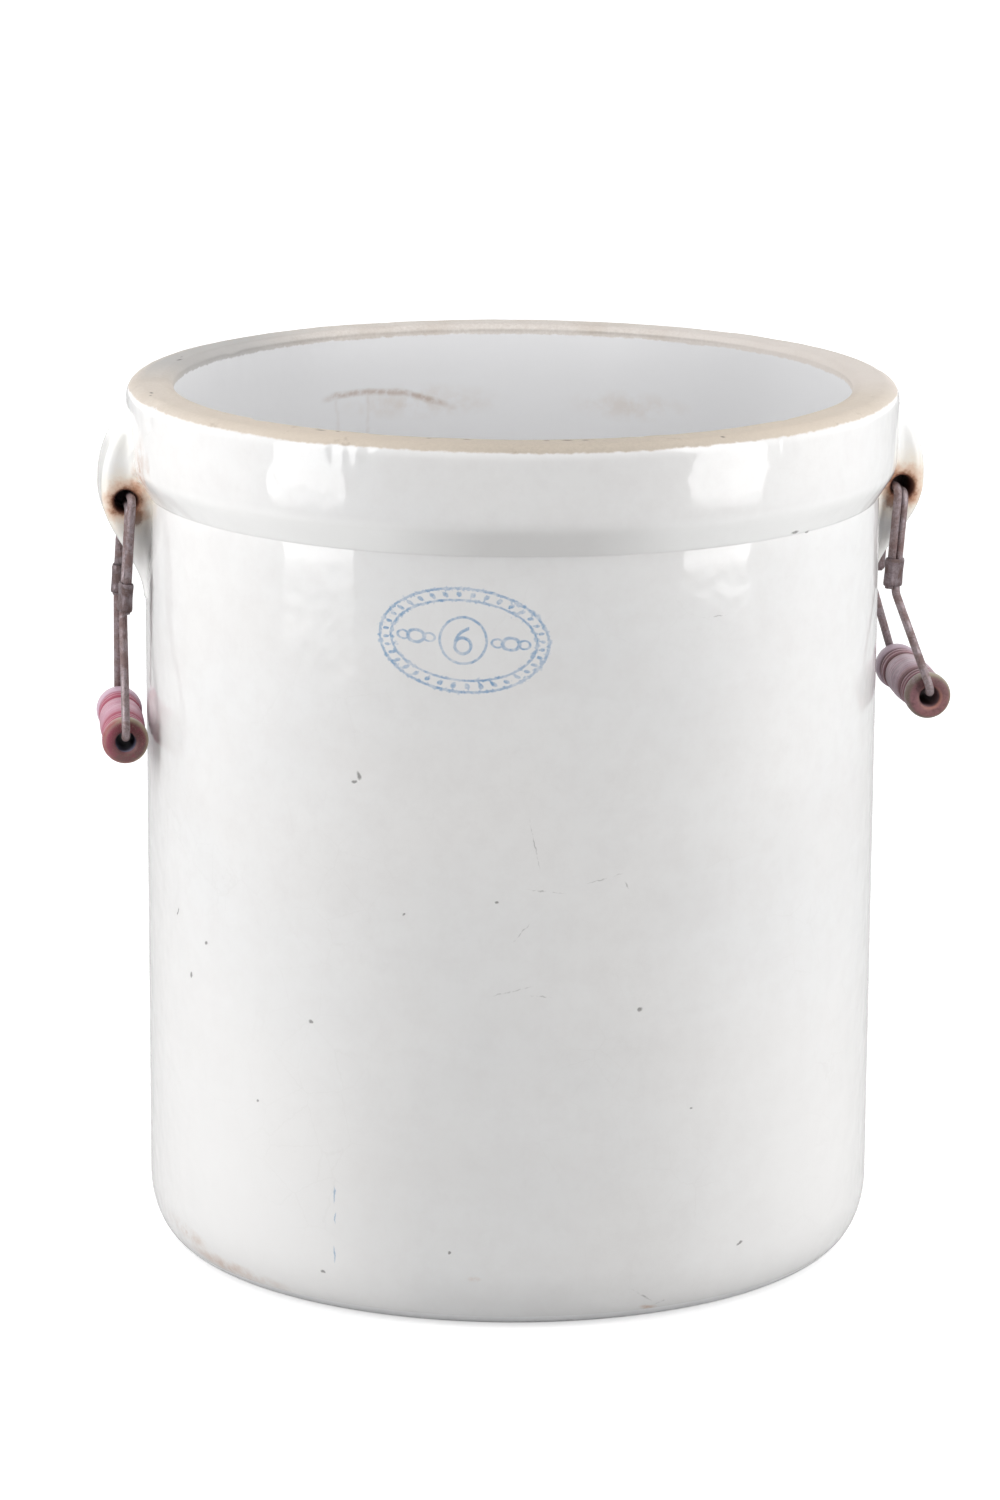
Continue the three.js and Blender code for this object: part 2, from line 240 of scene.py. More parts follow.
def crock_profile():
    """Radius and height round the pot's section, from the middle of the base to the middle of the floor."""
    foot = arc(FOOT_RADIUS - FOOT_ROUND_IN, FOOT_ROUND_UP, FOOT_ROUND_IN, FOOT_ROUND_UP, -90, 0, 18)
    undercut = []
    for drop in (14, 10, 7, 5, 3.4, 2.2, 1.3, 0.6, 0.2):
        waist = COLLAR_WAIST * math.exp(-drop / COLLAR_WAIST_HEIGHT)
        undercut.append((BODY_RADIUS - waist, COLLAR_BOTTOM - drop))
    for rise in (0.2, 0.8, 2, 4, 6, 8, 9.6, 10.8, 12, 13, 14.4, 16, 19, 23):
        undercut.append((collar_underside(rise), COLLAR_BOTTOM + rise))
    out, within, bend = RIM_OUTER_ROUND, RIM_INNER_ROUND, INNER_CORNER
    outer = arc(COLLAR_RADIUS - out, HEIGHT - out, out, out, 0, 90, 14)
    inner = arc(MOUTH_RADIUS + within, HEIGHT - within, within, within, 90, 180, 12)
    corner = arc(MOUTH_RADIUS - bend, FLOOR_THICKNESS + bend, bend, bend, 0, -90, 8)
    points = [(0, 0)]
    points += line((0, 0), foot[0], 6) + foot
    points += line(foot[-1], undercut[0], 30) + undercut
    points += line(undercut[-1], outer[0], 9) + outer
    points += line(outer[-1], inner[0], 9) + inner
    points += line(inner[-1], corner[0], 24) + corner
    points += line(corner[-1], (0, FLOOR_THICKNESS), 5) + [(0, FLOOR_THICKNESS)]
    return points


def crock_point(radius, z, angle):
    """A point of the pot's skin, with the small unevenness of fired clay, always inwards of the CAD skin."""
    direction = Vector((math.sin(angle), -math.cos(angle), 0))
    place = direction * radius + Vector((0, 0, z))
    if radius < 1:
        return place
    uneven = noise.noise(place * 0.012) + 0.5 * noise.noise(place * 0.035 + Vector((7, 1, 3)))
    inside = radius < MOUTH_RADIUS + 0.6 and z > FLOOR_THICKNESS - 1
    depth = SKIN_DEPTH + SKIN_UNEVEN * uneven
    share = smoothstep(z, 4, 30)
    radius += (depth if inside else -depth) * share
    top = smoothstep(z, HEIGHT - 3, HEIGHT)
    drop = top * (0.25 + 0.2 * noise.noise(direction * 6) + 0.1 * noise.noise(place * 0.12))
    for azimuth, at, size, deep in RIM_NICKS:
        if z < HEIGHT - 12:
            break
        away = (math.degrees(angle) - azimuth + 180) % 360 - 180
        along = math.radians(away) * at
        across = radius - at
        distance = math.hypot(along / 1.4, across) + 0.35 * noise.noise(place * 0.6)
        if distance < size:
            bite = deep * (1 - (max(distance, 0) / size) ** 2)
            drop += bite * smoothstep(z, HEIGHT - 10, HEIGHT - 2)
            radius += -0.5 * bite if at > 155 else 0.3 * bite
    return direction * radius + Vector((0, 0, z - drop))


def make_crock():
    profile = crock_profile()
    verts = [crock_point(0, 0, 0)]
    for radius, z in profile[1:-1]:
        verts += [crock_point(radius, z, angle) for angle in round_angles(CROCK_SIDES)]
    verts.append(crock_point(0, FLOOR_THICKNESS, 0))
    faces = wall_faces(len(profile) - 2, CROCK_SIDES, first=1)
    top = len(verts) - 1
    last = top - CROCK_SIDES
    for i in range(CROCK_SIDES):
        after = (i + 1) % CROCK_SIDES
        faces += [(0, 1 + after, 1 + i), (last + i, last + after, top)]
    return add_object("crock_glazed", verts, faces)


# ---- ears ----


def ear_reach(drop):
    """How far out the ear stands at a drop below the rim."""
    if drop < EAR_WIDEST_DROP:
        rise = (EAR_WIDEST_DROP - drop) / (EAR_WIDEST_DROP - EAR_TOP_DROP)
        return COLLAR_RADIUS + (EAR_REACH - COLLAR_RADIUS) * (1 - rise * rise)
    tail = BODY_RADIUS + EAR_TIP_THICKNESS
    share = smoothstep(drop, EAR_WIDEST_DROP + EAR_WIDEST_BAND, EAR_TIP_DROP)
    return EAR_REACH + (tail - EAR_REACH) * share


def ear_half_width(drop):
    if drop < EAR_TOP_DROP + EAR_SHOULDER:
        rise = 1 - (drop - EAR_TOP_DROP) / EAR_SHOULDER
        share = math.sqrt(max(1 - rise * rise, 0))
        return EAR_TOP_HALF_WIDTH + (EAR_HALF_WIDTH - EAR_TOP_HALF_WIDTH) * share
    share = smoothstep(drop, EAR_TAPER_DROP, EAR_TIP_DROP)
    return EAR_HALF_WIDTH + (EAR_TIP_HALF_WIDTH - EAR_HALF_WIDTH) * share


def crock_surface(drop):
    """Radius of the pot's outside at a drop below the rim."""
    rise = HEIGHT - drop - COLLAR_BOTTOM
    return BODY_RADIUS if rise < 0 else collar_underside(rise)


def ear_outline(drop):
    """A level section of the ear, flared where it meets the pot."""
    reach = ear_reach(drop)
    half = ear_half_width(drop)
    corner = min(EAR_EDGE_ROUND, half - 0.5)
    surface = crock_surface(drop)
    root = MOUTH_RADIUS + 8
    points = [(root + (reach - corner - root) * step / 9, -half) for step in range(9)]
    points += arc(reach - corner, corner - half, corner, corner, -90, 0, 8)
    points += [(x, -y) for x, y in reversed(points)]
    flared = []
    for x, y in points:
        above = max(x - math.sqrt(max(surface**2 - y * y, 1)), 0)
        flare = EAR_ROOT_FLARE * max(1 - above / EAR_ROOT_FLARE_HEIGHT, 0) ** 2
        flared.append((x, y + math.copysign(flare, y), HEIGHT - drop))
    return flared


def drill_out(ear):
    """Cuts the hole, softens the whole ear and brings the bore back to its size."""
    profile = HOLE_MOUTH + [(radius, -y) for radius, y in reversed(HOLE_MOUTH)]
    verts = []
    for radius, y in profile:
        for angle in round_angles(DRILL_SIDES):
            verts.append((HOLE_OUT + radius * math.cos(angle), y, HOLE_HEIGHT + radius * math.sin(angle)))
    drill = add_object("ear_drill", verts, capped_faces(len(profile), DRILL_SIDES, flip=True))
    bake(ear, ("BOOLEAN", {"operation": "DIFFERENCE", "object": drill, "solver": "EXACT"}))
    bpy.data.objects.remove(drill)
    bake(
        ear,
        ("REMESH", {"mode": "VOXEL", "voxel_size": EAR_VOXEL * MM, "use_smooth_shade": True}),
        ("SMOOTH", {"factor": 0.5, "iterations": 6}),
    )
    low, high = HOLE_FLARE_SPAN
    for vertex in ear.data.vertices:
        x, y, z = vertex.co / MM
        away = Vector((x - HOLE_OUT, z - HOLE_HEIGHT))
        if away.length < HOLE_SNUG[0] and abs(y) < HOLE_SNUG[1]:
            flare = min(max((abs(y) - low) / (high - low), 0), 1)
            snug = away.normalized() * (HOLE_RADIUS + HOLE_FLARE * flare * flare)
            vertex.co = Vector((HOLE_OUT + snug.x, y, HOLE_HEIGHT + snug.y)) * MM


def make_ear(side, azimuth):
    """The ear, with the faces of its bore in the second material."""
    verts = []
    for i in range(EAR_SECTIONS + 1):
        verts += ear_outline(EAR_TIP_DROP + (EAR_TOP_DROP - EAR_TIP_DROP) * i / EAR_SECTIONS)
    rows = EAR_SECTIONS + 1
    ear = add_object(f"ear_glazed_{side}", verts, capped_faces(rows, len(verts) // rows))
    drill_out(ear)
    for polygon in ear.data.polygons:
        x, y, z = polygon.center / MM
        from_hole = math.hypot(x - HOLE_OUT, z - HOLE_HEIGHT)
        if from_hole < HOLE_FACES[0] and abs(y) < HOLE_FACES[1]:
            polygon.material_index = 1
    ear.data.transform(Matrix.Rotation(azimuth, 4, "Z"))
    return ear


# ---- bails ----


def lay_strands(hang):
    """The doubled wire in a frame at the middle of the ear hole: X out, Y through the hole, Z up."""
    lay = math.radians(hang["lay"])
    across = Vector((math.cos(lay), 0, -math.sin(lay))) * PAIR_HALF
    middle = Vector((-math.sin(lay), 0, -math.cos(lay))) * PAIR_SAG
    out, drop = hang["sleeve"]
    down = (Vector((out, 0, -drop)) - middle).normalized()
    upper = {"bar": middle - across, "leg": LEG_OUT + 2 * PAIR_HALF * math.sin(lay)}
    lower = {"bar": middle + across, "leg": LEG_OUT}
    return upper, lower, down


def hang_corner(strand, side):
    """Where a strand leaves the ear hole and turns down; side is -1 or 1 along Y."""
    bar = strand["bar"]
    return Vector((bar.x, side * strand["leg"], bar.z))


def leg_point(strand, side, down, drop):
    """The point of a strand's leg at a drop below the ear hole."""
    corner = hang_corner(strand, side)
    return corner + down * (-(drop + corner.z) / down.z)


def grip_axis(hang):
    turn = math.radians(hang["turn"])
    return Vector((math.sin(turn), hang["front"] * math.cos(turn), 0))


def grip_centre(hang):
    out, drop = hang["grip"]
    return Vector((out, 0, -drop))


def bent_path(points, radii):
    """Points along a run of straights with rounded corners."""
    path = [points[0]]
    for before, corner, after, radius in zip(points, points[1:], points[2:], radii):
        arrive = (corner - before).normalized()
        leave = (after - corner).normalized()
        turn = arrive.angle(leave)
        run = radius * math.tan(turn / 2)
        enter = corner - arrive * run
        axis = arrive.cross(leave).normalized()
        centre = enter + axis.cross(arrive) * radius
        steps = max(3, round(math.degrees(turn) / 9))
        for i in range(steps + 1):
            path.append(centre + Matrix.Rotation(turn * i / steps, 3, axis) @ (enter - centre))
    path.append(points[-1])
    return path


def tube(path, radius, sides):
    """Verts and faces of a round tube with closed ends."""
    tangents = []
    for i in range(len(path)):
        ahead = path[min(i + 1, len(path) - 1)] - path[max(i - 1, 0)]
        tangents.append(ahead.normalized())
    normal = tangents[0].orthogonal().normalized()
    verts = []
    for point, tangent in zip(path, tangents):
        normal = (normal - tangent * normal.dot(tangent)).normalized()
        binormal = tangent.cross(normal)
        for angle in round_angles(sides):
            verts.append(point + (normal * math.cos(angle) + binormal * math.sin(angle)) * radius)
    return verts, capped_faces(len(path), sides)


def at_ear(obj, hang):
    """Moves a piece from the frame in the ear hole to its side of the crock."""
    hole = Matrix.Translation((HOLE_OUT * MM, 0, HOLE_HEIGHT * MM))
    obj.data.transform(Matrix.Rotation(hang["azimuth"], 4, "Z") @ hole)
    return obj


def rust_plug(side):
    """Rust and dirt packed between the doubled wires inside the ear hole."""
    profile = [(-1.7, 1.8), (-1.5, 3.1), (-0.8, 3.75), (0, 3.9), (0.8, 3.75), (1.5, 3.1), (1.7, 1.8)]
    verts = []
    for row, (y, radius) in enumerate(profile):
        for angle in round_angles(PLUG_SIDES):
            x, z = math.cos(angle), math.sin(angle)
            lumpy = radius + 0.15 * noise.noise(Vector((3 * x, 3 * z, row * 0.5 + len(side))))
            verts.append(Vector((lumpy * x, y, lumpy * z)))
    return verts, capped_faces(len(profile), PLUG_SIDES, flip=True)


def make_wire(side, hang):
    """One wire: from a tail through the ear, down to the grip, back up and through the ear again."""
    upper, lower, down = lay_strands(hang)
    front = hang["front"]
    end = hang["sleeve"][1] + SLEEVE_LENGTH / 2
    grip_end = grip_axis(hang) * (GRIP_LENGTH / 2 + GRIP_END_ROOM)
    grip_middle = grip_centre(hang) + Vector((0, 0, GRIP_LIFT))
    points = [
        leg_point(upper, front, down, end + WIRE_TAIL),
        hang_corner(upper, front),
        hang_corner(upper, -front),
        leg_point(upper, -front, down, end + KINK_BELOW_SLEEVE),
        grip_middle - grip_end,
        grip_middle + grip_end,
        leg_point(lower, front, down, end + KINK_BELOW_SLEEVE),
        hang_corner(lower, front),
        hang_corner(lower, -front),
        leg_point(lower, -front, down, end + WIRE_TAIL),
    ]
    leg_bends = [WIRE_BEND, WIRE_BEND, WIRE_KINK_BEND, WIRE_BEND]
    verts, faces = tube(bent_path(points, leg_bends + leg_bends[::-1]), WIRE_RADIUS, WIRE_SIDES)
    plug_verts, plug_faces = rust_plug(side)
    faces += [tuple(len(verts) + i for i in face) for face in plug_faces]
    verts += plug_verts
    return at_ear(add_object(f"wire_{side}", verts, faces), hang)


def stadium(half, radius):
    """Outline round two circles whose centres are half to either side."""
    return arc(half, 0, radius, radius, -90, 90, 14) + arc(-half, 0, radius, radius, 90, 270, 14)


def make_sleeve(side, place, hang):
    """A strip of sheet metal squeezed round the doubled wire, with rolled edges and a shallow waist."""
    upper, lower, down = lay_strands(hang)
    toward = hang["front"] if place == "front" else -hang["front"]
    inner = leg_point(upper, toward, down, hang["sleeve"][1])
    outer = leg_point(lower, toward, down, hang["sleeve"][1])
    across = outer - inner
    across -= down * across.dot(down)
    half = across.length / 2
    across.normalize()
    aside = down.cross(across)
    middle = (inner + outer) / 2
    end = SLEEVE_LENGTH / 2
    alongs = [-end + SLEEVE_LENGTH * i / SLEEVE_ROWS for i in range(SLEEVE_ROWS + 1)]
    rows = []
    for along in alongs:
        edge = SLEEVE_EDGE_DROP * smoothstep(abs(along), end - SLEEVE_EDGE, end)
        waist = SLEEVE_WAIST * math.cos(math.pi * along / SLEEVE_LENGTH) ** 2
        rows.append((along, SLEEVE_INNER + SLEEVE_WALL - edge - waist))
    rows += [(along, SLEEVE_INNER - SLEEVE_SQUEEZE) for along in alongs[::-4]]
    verts = []
    for along, radius in rows:
        for x, y in stadium(half, radius):
            verts.append(middle + across * x + aside * y + down * along)
    faces = wall_faces(len(rows), len(verts) // len(rows), closed=True)
    sleeve = add_object(f"sleeve_{side}_{place}_crimped", verts, faces)
    return at_ear(sleeve, hang)


# Turned grip: distance from its middle and radius there, in mm, towards one end
GRIP_TURNING = [
    (0, 9.7), (4, 9.66), (8, 9.55), (11, 9.4), (13, 9.22), (14.2, 8.95), (15, 8.4), (15.7, 8.1), (16.4, 8.4),
    (17, 9), (17.9, 9.35), (18.8, 9.35), (19.6, 9.05), (20.1, 8.7), (20.6, 9.05), (21.4, 9.35), (22.3, 9.35),
    (23.1, 9), (23.7, 8.4), (24.4, 8.1), (25.1, 8.5), (25.7, 9.2), (26.6, 9.75), (28.2, 9.98), (30.2, 9.98),
    (31.8, 9.8), (32.9, 9.3), (33.6, 8.5), (33.95, 7.4), (34, 6.4), (34, 5.4), (33.7, 4.7), (33.1, 4.35),
    (32, GRIP_BORE_RADIUS),
]


def make_grip(side, hang):
    profile = [(-along, radius) for along, radius in reversed(GRIP_TURNING[1:])] + GRIP_TURNING
    axis = grip_axis(hang)
    centre = grip_centre(hang)
    upright = Vector((0, 0, 1))
    aside = axis.cross(upright)
    verts = []
    for along, radius in profile:
        for angle in round_angles(GRIP_SIDES):
            x, y = math.cos(angle), math.sin(angle)
            wobble = GRIP_WOBBLE * (noise.noise(Vector((x, y, along * 0.2 + len(side)))) - 1)
            shown = radius + (wobble if radius > GRIP_WOBBLE_FROM else 0)
            verts.append(centre + axis * along + (aside * x + upright * y) * shown)
    faces = wall_faces(len(profile), GRIP_SIDES, closed=True, flip=True)
    return at_ear(add_object(f"grip_turned_{side}", verts, faces), hang)


# ---- materials ----


class Nodes:
    """A node tree, built by short calls that return sockets."""

    def __init__(self, tree):
        self.tree = tree

    def node(self, kind, inputs=(), **settings):
        made = self.tree.nodes.new(kind)
        for key, value in settings.items():
            setattr(made, key, value)
        for key, value in dict(inputs).items():
            self.set(made.inputs[key], value)
        return made

    def set(self, socket, value):
        if isinstance(value, bpy.types.NodeSocket):
            self.tree.links.new(value, socket)
        else:
            socket.default_value = value

    def math(self, operation, *values, clamp=False):
        """One Math node, or a run of them, each taking in one more value."""
        total = values[0]
        for value in values[1:] or (0,):
            made = self.node("ShaderNodeMath", {0: total, 1: value}, operation=operation, use_clamp=clamp)
            total = made.outputs[0]
        return total

    def plus(self, *terms):
        return self.math("ADD", *terms)

    def minus(self, a, b):
        return self.math("SUBTRACT", a, b)

    def times(self, *factors):
        return self.math("MULTIPLY", *factors)

    def max(self, *values):
        return self.math("MAXIMUM", *values)

    def abs(self, value):
        return self.math("ABSOLUTE", value)

    def above(self, value, limit):
        return self.math("GREATER_THAN", value, limit)

    def below(self, value, limit):
        return self.math("LESS_THAN", value, limit)

    def range(self, value, low, high, to_low=0, to_high=1, smooth=False):
        """A value carried from low..high to to_low..to_high, and held at the ends."""
        made = self.node("ShaderNodeMapRange", {0: value, 1: low, 2: high, 3: to_low, 4: to_high})
        made.interpolation_type = "SMOOTHSTEP" if smooth else "LINEAR"
        return made.outputs[0]

    def noise(self, vector, scale, detail=2, roughness=0.5, distortion=0):
        inputs = {"Scale": scale, "Detail": detail, "Roughness": roughness, "Distortion": distortion}
        return self.node("ShaderNodeTexNoise", {"Vector": vector, **inputs}).outputs["Fac"]

    def mix(self, factor, a, b):
        """Colour b laid over colour a."""
        made = self.node("ShaderNodeMix", data_type="RGBA")
        for index, value in ((0, factor), (6, a), (7, b)):
            self.set(made.inputs[index], value)
        return made.outputs[2]

    def layers(self, colour, *layers):
        """Lays pairs of (share, colour) over a colour, one after the other."""
        for share, top in layers:
            colour = self.mix(share, colour, top)
        return colour

    def choose(self, which, other, chosen):
        """A number: chosen where which is 1, and other where it is 0."""
        return self.node("ShaderNodeMix", {0: which, 2: other, 3: chosen}).outputs[0]

    def vector(self, operation, a, b=(0, 0, 0), scale=1):
        made = self.node("ShaderNodeVectorMath", {0: a, 1: b, 3: scale}, operation=operation)
        return made.outputs["Value" if operation in ("LENGTH", "DISTANCE", "DOT_PRODUCT") else "Vector"]

    def in_mm(self, place):
        return self.vector("SCALE", place, scale=1 / MM)

    def length(self, vector):
        return self.vector("LENGTH", vector)

    def mapping(self, vector, location=(0, 0, 0), turn=0, scale=(1, 1, 1)):
        """Coordinates in a frame that stands at a location, turned in its plane and stretched."""
        inputs = {"Vector": vector, "Location": location, "Rotation": (0, 0, turn), "Scale": scale}
        return self.node("ShaderNodeMapping", inputs, vector_type="TEXTURE").outputs[0]

    def split(self, vector):
        return self.node("ShaderNodeSeparateXYZ", {0: vector}).outputs

    def join(self, x, y, z=0):
        return self.node("ShaderNodeCombineXYZ", {0: x, 1: y, 2: z}).outputs[0]


class Shader(Nodes):
    """The nodes of a new material."""

    def __init__(self, name):
        self.material = bpy.data.materials.new(name)
        self.material.use_nodes = True
        super().__init__(self.material.node_tree)
        self.bsdf = self.tree.nodes["Principled BSDF"]

    def place(self):
        return self.node("ShaderNodeTexCoord").outputs["Object"]

    def finish(self, inputs, height, distance):
        """Sets the shader's inputs and its relief, in metres."""
        bump = self.node("ShaderNodeBump", {"Height": height, "Distance": distance, "Strength": 1})
        for key, value in {**inputs, "Normal": bump.outputs[0]}.items():
            self.set(self.bsdf.inputs[key], value)
        return self.material


def rgb(red, green, blue):
    """Linear colour of a display colour from 0 to 255."""
    linear = []
    for value in (red, green, blue):
        share = value / 255
        linear.append(share / 12.92 if share < 0.04045 else ((share + 0.055) / 1.055) ** 2.4)
    return (*linear, 1)


GLAZE_IOR = 1.43
EAR_IOR = 1.35
# Depth of the relief on glaze, in metres
GLAZE_RELIEF = 0.00012
# Radii halfway through the wall and halfway across the rim's flat top
WALL_MIDDLE = 150
RIM_MIDDLE = 154


def around(azimuth):
    """Distance along the body's skin from the front, in mm, of an azimuth in degrees."""
    return math.radians(azimuth) * BODY_RADIUS


# Marks on the outside: azimuth from the front in degrees, height, half length and half width in mm, tilt in
# degrees
GREY_MARKS = [
    (-31.2, 234.6, 1.2, 2.2, 20), (-32, 232, 1.8, 0.9, 10), (-62.3, 149.5, 1.4, 1, 0),
    (-71.4, 157.3, 2.6, 0.6, 60), (-66.9, 132.6, 1, 1.6, 0), (-39.5, 127.3, 1.2, 1, 0),
    (12.1, 137.2, 1.3, 1.2, 0), (-9.9, 184.8, 1, 0.8, 0), (-37.5, 19.5, 1.4, 1, 0),
    (-16.8, 34, 1, 0.8, 0), (30.5, 29, 2, 0.7, 20), (-24, 178, 0.9, 0.6, 30),
    (39.5, 329.8, 2.8, 0.8, 0), (42.8, 328.7, 1.6, 0.6, 0), (21, 92, 0.8, 0.6, 0), (-50, 88, 0.9, 0.6, 0),
]
SCRATCHES = [
    (-4.3, 209.2, 0.35, 13, 12), (-2.5, 189.4, 9, 0.35, -6), (6.5, 194, 9, 0.35, 12),
    (9.8, 190.5, 0.35, 5, 20), (-7.6, 147.2, 10, 0.4, 14), (-3.5, 145, 6, 0.35, -4),
    (-6.2, 172, 6, 0.3, 50), (13.5, 12.5, 7, 0.5, -35), (17.5, 8.5, 5, 0.5, 20), (24, 300, 7, 0.25, 0),
]
BLUE_MARKS = [(-35.4, 54, 0.5, 4.5, 0), (-35.3, 44, 0.45, 3, 0), (-35.4, 28, 0.5, 4, 0)]
BROWN_MARKS = [
    (-58, 8, 42, 5, -3), (-70, 16, 24, 5, -6), (-13, 23, 3.5, 1.4, 0), (15, 6, 5, 1.6, -10),
    (-76, 345, 4, 9, 0),
]
# Marks on the rim's flat top, with the radius in the place of the height
RIM_CHIPS = [
    (-82, 157.8, 2.3, 1, 4), (-80, 159.5, 1.2, 0.6, -20), (-114, 150.5, 3, 1.1, 8),
    (-117, 152.5, 1.3, 0.7, 0), (0.4, 151.3, 3.4, 1.4, 2), (-2.8, 151, 1.9, 1.1, 0),
    (3.2, 151.4, 2.2, 1.3, 0), (-15, 150.8, 2.4, 0.9, 0), (-21, 150.6, 1.8, 0.9, 3),
    (-39, 151.4, 3.2, 1.2, 0), (-36, 150.8, 1.6, 0.9, 0), (24, 160.5, 1.3, 0.9, 20),
]

# The stamp's middle, and the half axes of its band of dots and of the ovals on either side of it
STAMP_AZIMUTH = -15.1
STAMP_HEIGHT = 294
STAMP_TILT = -3.4
STAMP_BAND = (32.6, 19)
STAMP_OUTER = (35, 21.4)
STAMP_INNER = (30.2, 16.6)
STAMP_DOTS = 36


def spot(s, place, at, size, soft, tilt=0):
    """1 in an oval of two half axes and 0 outside it; soft is the share of it that fades to the edge."""
    local = s.mapping(place, (*at, 0), math.radians(tilt), (*size, 1))
    return s.range(s.length(local), 1, 1 - soft)


def marks(s, skin, table, soft):
    """Highest value of a table of oval marks; skin holds distance round and height in mm."""
    found = []
    for azimuth, height, long, wide, tilt in table:
        found.append(spot(s, skin, (around(azimuth), height), (long, wide), soft, tilt))
    return s.max(*found)


def stamp(s, skin):
    """Plain capacity stamp: a 6 in a ring, inside an oval band of dots."""
    local = s.mapping(skin, (around(STAMP_AZIMUTH), STAMP_HEIGHT, 0), math.radians(STAMP_TILT))
    x, y, _ = s.split(local)

    def stroke(distance, half_width):
        return s.range(s.abs(distance), half_width + 0.16, half_width - 0.16)

    def ring(cx, cy, radius):
        return s.minus(s.vector("DISTANCE", local, (cx, cy, 0)), radius)

    def oval(rx, ry):
        reach = s.length(s.mapping(local, scale=(rx, ry, 1)))
        steep = s.length(s.mapping(local, scale=(rx * rx, ry * ry, 1)))
        return s.math("DIVIDE", s.minus(reach, 1), s.math("DIVIDE", steep, reach))

    angle = s.math("ARCTAN2", s.math("DIVIDE", y, STAMP_BAND[1]), s.math("DIVIDE", x, STAMP_BAND[0]))
    spin = s.times(angle, STAMP_DOTS / (2 * math.pi))
    phase = s.times(s.abs(s.minus(s.math("FRACT", spin), 0.5)), 5)
    six_top, six_side = s.above(y, -2.2), s.below(x, 2.2)
    lines = [
        stroke(oval(*STAMP_OUTER), 0.45),
        stroke(oval(*STAMP_INNER), 0.4),
        s.range(s.length(s.join(phase, oval(*STAMP_BAND))), 1.15, 0.75),
        stroke(ring(0, 0, 9.6), 0.5),
        stroke(ring(0, -2.2, 3.3), 0.62),
        s.times(stroke(ring(4.3, -2.2, 7.6), 0.62), six_top, six_side),
    ]
    for side in (-1, 1):
        for offset, size in ((-5.5, 1), (0, 1.5), (5.5, 1)):
            bead = s.mapping(local, (side * (19.5 + offset), 0, 0), scale=(2.3 * size, 1.7 * size, 1))
            lines.append(stroke(s.times(s.minus(s.length(bead), 1), 2), 0.45))
    return s.max(*lines)


def rust_stain(s, place, colour):
    """Rust bled from the wires round both mouths of each ear hole; returns the colour and the dark core."""
    x, y, z = s.split(place)
    out = s.minus(s.abs(x), HOLE_OUT)
    along = s.minus(s.abs(y), EAR_HALF_WIDTH)
    up = s.minus(z, HOLE_HEIGHT)
    from_hole = s.length(s.join(out, up))
    patchy = s.noise(place, 0.11, 4, 0.65)
    blots = s.noise(place, 0.3, 4, 0.7)
    ragged = s.plus(s.length(s.join(out, up, along)), s.times(patchy, 14), -7)
    tint = s.range(ragged, 19, 7, smooth=True)
    streak = spot(s, s.join(out, up), (-6.5, 17), (4.2, 26), 0.7, 8)
    streak = s.times(streak, s.range(s.noise(place, 0.2, 4, 0.7), 0.38, 0.56))
    near = s.range(s.abs(along), 22, 12)
    blot = s.vector("SUBTRACT", s.join(s.times(out, 1.2), up, along), (-5.4, -6.5, 0))
    blot = s.plus(s.length(blot), s.times(s.minus(blots, 0.5), 6))
    brown = s.times(s.range(ragged, 8, 5), s.range(blots, 0.38, 0.56, 0.35, 1))
    brown = s.max(brown, s.range(blot, 4.2, 2.2, 0, 0.8))
    core = s.times(s.range(from_hole, 6, 5), s.below(along, 1.5))
    colour = s.layers(
        colour,
        (s.times(tint, 0.3), rgb(234, 206, 160)),
        (s.times(streak, near, 0.6), rgb(186, 140, 112)),
        (s.times(s.range(ragged, 11.5, 5.5), 0.7), rgb(196, 130, 84)),
        (s.times(brown, 0.85), rgb(112, 66, 50)),
        (core, rgb(104, 66, 54)),
    )
    return colour, s.max(brown, core)


def inner_crack(s, place):
    """Brown crack high on the inside at the back, and the stain run down from it."""
    x, y, z = s.split(place)
    round_back = s.times(s.math("ARCTAN2", s.times(x, -1), y), MOUTH_RADIUS)
    wander = s.times(s.minus(s.noise(place, 0.09, 3), 0.5), 3)
    bend = s.math("POWER", s.minus(round_back, 51), 2)
    course = s.plus(s.minus(346.8, s.times(bend, 0.0045)), wander)
    below = s.minus(course, z)
    reach = s.times(s.range(round_back, 4, 16), s.range(round_back, 72, 62))
    thin = s.times(s.range(s.abs(below), 2.1, 0.4), reach)
    swaying = s.plus(round_back, s.times(s.minus(s.noise(place, 0.12, 2), 0.5), 5))
    for at in (47.5, 63):
        run = s.range(s.abs(s.minus(swaying, at)), 1.4, 0.3, 0, 0.2)
        thin = s.max(thin, s.times(run, s.range(below, 0, 3)))
    skin = s.join(round_back, z)
    far_bleed = s.times(spot(s, skin, (-74, 340), (34, 8), 0.8), 0.85)
    bleed = s.max(spot(s, skin, (22, 341), (42, 9), 0.8), far_bleed)
    bleed = s.times(bleed, s.range(s.noise(place, 0.1, 4, 0.6), 0.4, 0.62))
    inside = s.times(s.above(y, 0), s.below(z, HEIGHT - 12), s.below(s.length(s.join(x, y)), WALL_MIDDLE))
    thin = s.times(thin, s.range(s.noise(place, 0.25, 3, 0.6), 0.34, 0.55, 0.3, 1))
    return s.times(thin, inside), s.times(bleed, inside)


